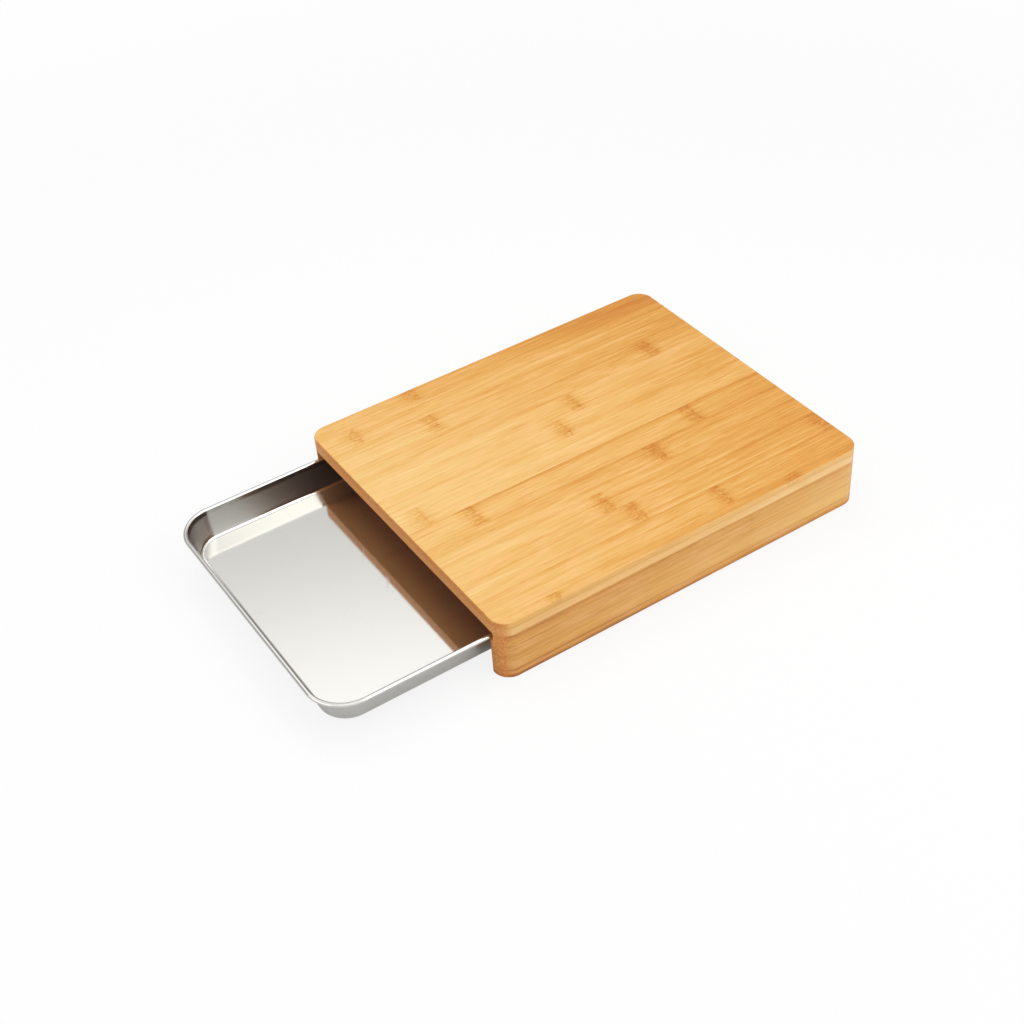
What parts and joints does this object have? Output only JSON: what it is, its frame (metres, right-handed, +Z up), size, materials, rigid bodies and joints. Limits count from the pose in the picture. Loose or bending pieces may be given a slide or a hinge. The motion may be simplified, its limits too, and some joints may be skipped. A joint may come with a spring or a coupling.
{
  "type": "cutting board with drawer",
  "caption": "Bamboo cutting board on rails, with a stainless steel tray that slides out from under it.",
  "frame": {"origin": "on the table, at the middle of the footprint of the board and its pulled-out tray", "axes": "+X along the grain from the open end to the closed back, +Y across the board, +Z up"},
  "size_m": [0.5015, 0.303, 0.0582],
  "materials": {
    "face_bamboo": "oiled carbonised bamboo, wide flat-pressed strips with dark node marks, satin",
    "core_bamboo": "paler carbonised bamboo edge, fine straight fibres, satin",
    "rail_bamboo": "carbonised bamboo, fine straight fibres, satin",
    "tray_steel": "pressed stainless steel, smooth, slightly hazy mirror"
  },
  "bodies": {
    "board": {"face_strip_01": "face_bamboo", "face_strip_02": "face_bamboo", "face_strip_03": "face_bamboo", "face_strip_04": "face_bamboo", "face_strip_05": "face_bamboo", "face_strip_06": "face_bamboo", "face_strip_07": "face_bamboo", "face_strip_08": "face_bamboo", "face_strip_09": "face_bamboo", "face_strip_10": "face_bamboo", "face_strip_11": "face_bamboo", "face_strip_12": "face_bamboo", "face_strip_13": "face_bamboo", "core_strip_01": "core_bamboo", "core_strip_02": "core_bamboo", "core_strip_03": "core_bamboo", "core_strip_04": "core_bamboo", "core_strip_05": "core_bamboo", "core_strip_06": "core_bamboo", "core_strip_07": "core_bamboo", "core_strip_08": "core_bamboo", "core_strip_09": "core_bamboo", "core_strip_10": "core_bamboo", "core_strip_11": "core_bamboo", "core_strip_12": "core_bamboo", "near_rail": "rail_bamboo", "far_rail": "rail_bamboo", "back_rail": "rail_bamboo"},
    "tray": {"steel_tray": "tray_steel"}
  },
  "joints": [
    {"name": "tray_slide", "type": "slide", "parent": "board", "child": "tray", "axis": [-1, 0, 0], "range_m": [-0.1415, 0.1085]}
  ]
}
